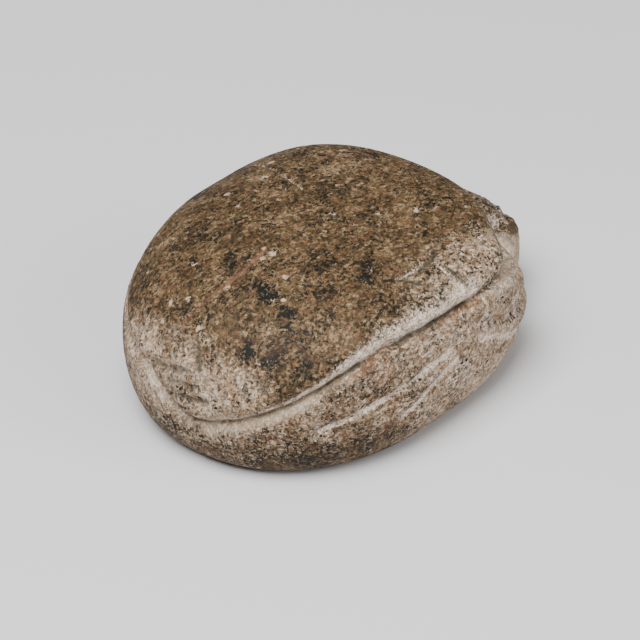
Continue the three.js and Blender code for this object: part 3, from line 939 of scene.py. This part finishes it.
def seams_and_crystals(recipe, look, colour, bent, mottle):
    """Dark seams between the grains, and large cream crystals."""
    inputs = {"Vector": bent, "Scale": SEAMS.scale}
    seam = recipe.add("ShaderNodeTexVoronoi", inputs, feature="DISTANCE_TO_EDGE").outputs["Distance"]
    seam = recipe.plus(seam, mottle, SEAMS.ragged)
    colour = recipe.cover(colour, recipe.mask(seam, SEAMS), SEAMS.amount, look.bark)
    away, lot = recipe.grains(bent, CRYSTALS.scale)
    crystals = recipe.mask(recipe.plus(away, mottle, CRYSTALS.ragged), CRYSTALS)
    crystals = recipe.math("MULTIPLY", crystals, recipe.math("GREATER_THAN", lot, CRYSTALS.rarity))
    painted = recipe.ragged(recipe.paint("cream"), mottle, CREAM_EDGE.ragged)
    painted = recipe.mask(painted, CREAM_EDGE)
    return recipe.mix(recipe.math("MAXIMUM", crystals, painted), colour, (*look.crystal, 1.0))


def specks_and_stains(recipe, look, colour, place, bent):
    """Dark crystals in clusters, and iron stain between them, which also lay painted shade at the foot and
    under the head plate.
    """
    specks = recipe.noise(bent, SPECKS)
    dark = recipe.plus(specks, recipe.noise(place, CLUSTERS), CLUSTERS.share)
    dark = recipe.plus(dark, recipe.paint("dark"), SPECKS.painted)
    dark = recipe.plus(dark, recipe.paint("pale"), -SPECKS.pale)
    colour = recipe.mix(recipe.mask(dark, SPECKS), colour, (*look.speck, 1.0))
    stain = recipe.math("MULTIPLY", recipe.patches(place, STAINS), STAINS.scattered)
    stain = recipe.plus(stain, recipe.paint("rust_and_shade"), STAINS.painted)
    stain = recipe.math("MULTIPLY", stain, recipe.mask(specks, STAIN_GRAIN))
    return recipe.mix(stain, colour, (*look.rust_and_shade, 1.0))


def wear_and_fill(recipe, look, colour, bent):
    """Rubbed cut stone, chalky bloom, painted shade in the cuts, under the head plate and at the foot, and
    the vein along the back.
    """
    colour = recipe.cover(colour, recipe.paint("rubbed"), COVER.rubbed, look.rubbed)
    powder_stops = ((0.34, look.clay), (0.43, look.oat), (0.52, look.chalk))
    powder = recipe.ramp(recipe.noise(bent, POWDER), powder_stops)
    bloom = recipe.plus(recipe.noise(bent, DUST), recipe.paint("chalk"), DUST.painted)
    bloom = recipe.math("MULTIPLY", recipe.mask(bloom, DUST), DUST.amount)
    colour = recipe.mix(bloom, colour, powder)
    colour = recipe.cover(colour, recipe.paint("crevice"), COVER.crevice, look.crevice)
    return recipe.cover(colour, recipe.paint("vein"), COVER.vein, look.vein)


def stone_surface(recipe, place, away):
    """Half-polished on the back and matt where the stone is cut, with a fine grit."""
    roughness = recipe.plus(SHEEN.roughness, recipe.paint("pale"), SHEEN.pale_roughness)
    recipe.feed(recipe.shader.inputs["Roughness"], roughness)
    recipe.feed(recipe.shader.inputs["Specular IOR Level"], SHEEN.specular)
    height = recipe.plus(recipe.noise(place, GRIT), away, GRIT.grain)
    bump = {"Strength": GRIT.strength, "Distance": GRIT.depth * MM, "Height": height}
    recipe.feed(recipe.shader.inputs["Normal"], recipe.add("ShaderNodeBump", bump).outputs["Normal"])


def stone_material(look):
    """Speckled stone, brown and rubbed on the back, pale and matt where it was cut."""
    recipe = Recipe("speckled_stone")
    place, bent = stone_places(recipe)
    away, lot = recipe.grains(bent, GRAINS.scale)
    mottle = recipe.noise(bent, MOTTLE)
    colour = mineral_grains(recipe, look, place, bent, mottle, lot)
    colour = seams_and_crystals(recipe, look, colour, bent, mottle)
    colour = specks_and_stains(recipe, look, colour, place, bent)
    colour = wear_and_fill(recipe, look, colour, bent)
    recipe.feed(recipe.shader.inputs["Base Color"], colour)
    stone_surface(recipe, place, away)
    return recipe.material


# Studio. The places and sizes of the lights are in metres
FLOOR_ROUGHNESS = 0.8
KEY_LIGHT = Values(right=-0.10, level=-0.20, up=0.42, size=0.30)
FILL_LIGHT = Values(right=0.45, level=-0.25, up=0.25, size=0.40)
LIGHTS_AIM_Z = 0.008
NEAREST_SHARE = 0.05


def metres(name, description, default):
    return FloatProperty(name=name, description=description, default=default, unit="LENGTH")


def watts(name, description, default):
    return FloatProperty(name=name, description=description, default=default, unit="POWER")


def degrees(name, description, value):
    default = math.radians(value)
    return FloatProperty(name=name, description=description, default=default, subtype="ANGLE")


def tint(name, description, default):
    return FloatVectorProperty(
        name=name, description=description, default=default, size=3, min=0.0, max=1.0, subtype="COLOR"
    )


class StoneLook(bpy.types.PropertyGroup):
    """Colours of the stone's minerals and of what handling and burial left on it."""

    umber: tint("Umber", "Darkest grains of the rubbed back", (0.018, 0.011, 0.005))
    bark: tint("Bark", "Dark grains of the rubbed back", (0.045, 0.028, 0.013))
    brown: tint("Brown", "Common grains of the rubbed back", (0.083, 0.050, 0.0220))
    tan: tint("Tan", "Lighter grains of the rubbed back", (0.145, 0.093, 0.045))
    blush: tint("Blush", "Reddish grains of the rubbed back", (0.140, 0.064, 0.030))
    cream: tint("Cream", "Palest grains of the rubbed back", (0.290, 0.210, 0.130))
    slate: tint("Slate", "Darkest grains of the cut sides", (0.060, 0.050, 0.038))
    clay: tint("Clay", "Dark grains of the cut sides", (0.160, 0.108, 0.067))
    sand: tint("Sand", "Common grains of the cut sides", (0.280, 0.195, 0.128))
    oat: tint("Oat", "Lighter grains of the cut sides", (0.430, 0.320, 0.225))
    ochre: tint("Ochre", "Yellow-brown grains of the cut sides", (0.270, 0.150, 0.068))
    pewter: tint("Pewter", "Grey grains of the cut sides", (0.230, 0.205, 0.175))
    bone: tint("Bone", "Palest grains of the cut sides", (0.620, 0.510, 0.400))
    speck: tint("Speck", "Dark green-black crystals", (0.006, 0.0065, 0.005))
    crystal: tint("Crystal", "Large cream crystals", (0.420, 0.320, 0.220))
    # Also the colour of the painted shadow under the head plate
    rust_and_shade: tint("Rust", "Iron stain", (0.150, 0.062, 0.024))
    rubbed: tint("Rubbed", "Cream where the cut stone is rubbed smooth", (0.480, 0.380, 0.270))
    chalk: tint("Chalk", "Pale bloom in the grooves and on rubbed edges", (0.760, 0.655, 0.560))
    # Painted shade in the bottoms of the grooves, along the neck, under the head plate and at the foot
    crevice: tint("Crevice", "Dark fill at the bottom of the grooves", (0.030, 0.028, 0.018))
    vein: tint("Vein", "Reddish vein along the back", (0.230, 0.110, 0.065))


class StudioSettings(bpy.types.PropertyGroup):
    """The plain floor, the soft lights and the camera."""

    floor_width: metres("Floor width", "Width of the floor", 4.0)
    floor: tint("Floor", "Colour of the floor", (0.66, 0.655, 0.66))
    key_power: watts("Key light", "Power of the main light", 4.6)
    fill_power: watts("Fill light", "Power of the second light", 1.8)
    sky: FloatProperty(name="Sky", description="Strength of the even light all round", default=0.3)
    azimuth: degrees("Azimuth", "Turn of the view from +Y", 48.74)
    elevation: degrees("Elevation", "Height of the view", 32.87)
    distance: metres("Distance", "Camera to stone", 0.4)
    lens: FloatProperty(name="Lens", description="Focal length in millimetres", default=225.0)
    aim_right: metres("Aim right", "Aim beside the body's middle", 0.00102)
    aim_up: metres("Aim up", "Aim above the body's foot", 0.00579)


class SCARAB_OT_carve_stone(bpy.types.Operator):
    """Carve the amulet from a sphere and give it its speckled finish"""

    bl_idname = "scarab.carve_stone"
    bl_label = "Carve stone"

    def execute(self, context):
        stone = make_stone()
        stone.data.materials.append(stone_material(context.scene.stone_look))
        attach(stone, "root")
        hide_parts("scarab")
        return {"FINISHED"}


def plain_material(name, colour, roughness):
    recipe = Recipe(name)
    recipe.feed(recipe.shader.inputs["Base Color"], (*colour, 1.0))
    recipe.feed(recipe.shader.inputs["Roughness"], roughness)
    return recipe.material


def add_light(name, power, lamp, right, level):
    """Hangs a square light that faces the stone."""
    target = Vector((0.0, 0.0, LIGHTS_AIM_Z))
    place = target + right * lamp.right + level * lamp.level + Vector((0.0, 0.0, lamp.up))
    bpy.ops.object.light_add(type="AREA", location=place)
    light = bpy.context.object
    light.name = name
    light.data.energy = power
    light.data.size = lamp.size
    light.rotation_euler = (target - place).to_track_quat("-Z", "Y").to_euler()


class SCARAB_OT_set_stage(bpy.types.Operator):
    """Set the floor, the lights and the camera round the amulet"""

    bl_idname = "scarab.set_stage"
    bl_label = "Set stage"

    def execute(self, context):
        studio = context.scene.studio_settings
        bpy.ops.object.select_all(action="DESELECT")
        bpy.ops.mesh.primitive_plane_add(size=studio.floor_width, location=(0, 0, 0))
        floor = context.object
        floor.name = "floor"
        floor.data.materials.append(plain_material("floor_paper", studio.floor, FLOOR_ROUGHNESS))

        right = Vector((math.cos(studio.azimuth), -math.sin(studio.azimuth), 0.0))
        level = Vector((math.sin(studio.azimuth), math.cos(studio.azimuth), 0.0))
        lift, run = math.sin(studio.elevation), math.cos(studio.elevation)
        up = Vector((0.0, 0.0, run)) + level * lift
        forward = level * run - Vector((0.0, 0.0, lift))
        body = Vector((BODY_X * MM, 0.0, 0.0))
        target = body + right * studio.aim_right + up * studio.aim_up
        bpy.ops.object.camera_add(location=target - forward * studio.distance)
        camera = context.object
        camera.name = "camera"
        camera.rotation_euler = forward.to_track_quat("-Z", "Y").to_euler()
        camera.data.lens = studio.lens
        camera.data.clip_start = studio.distance * NEAREST_SHARE
        context.scene.camera = camera

        add_light("key_light", studio.key_power, KEY_LIGHT, right, level)
        add_light("fill_light", studio.fill_power, FILL_LIGHT, right, level)
        world = bpy.data.worlds.new("studio")
        world.use_nodes = True
        world.node_tree.nodes["Background"].inputs["Color"].default_value = (1.0, 1.0, 1.0, 1.0)
        world.node_tree.nodes["Background"].inputs["Strength"].default_value = studio.sky
        context.scene.world = world
        return {"FINISHED"}


class SCARAB_PT_panel(bpy.types.Panel):
    """Sizes, colours and steps of the amulet"""

    bl_idname = "SCARAB_PT_panel"
    bl_label = "Scarab amulet"
    bl_space_type = "VIEW_3D"
    bl_region_type = "UI"
    bl_category = "Scarab"

    def draw(self, context):
        for group in (context.scene.stone_look, context.scene.studio_settings):
            box = self.layout.box()
            for name in group.__annotations__:
                box.prop(group, name)
        for operator in (SCARAB_OT_carve_stone, SCARAB_OT_set_stage):
            self.layout.operator(operator.bl_idname)


CLASSES = (StoneLook, StudioSettings, SCARAB_OT_carve_stone, SCARAB_OT_set_stage, SCARAB_PT_panel)


def register():
    for item in CLASSES:
        bpy.utils.register_class(item)
    bpy.types.Scene.stone_look = PointerProperty(type=StoneLook)
    bpy.types.Scene.studio_settings = PointerProperty(type=StudioSettings)


def unregister():
    del bpy.types.Scene.studio_settings
    del bpy.types.Scene.stone_look
    for item in reversed(CLASSES):
        bpy.utils.unregister_class(item)


def main():
    register()
    bpy.ops.scarab.carve_stone()
    bpy.ops.scarab.set_stage()


if __name__ == "__main__":
    main()
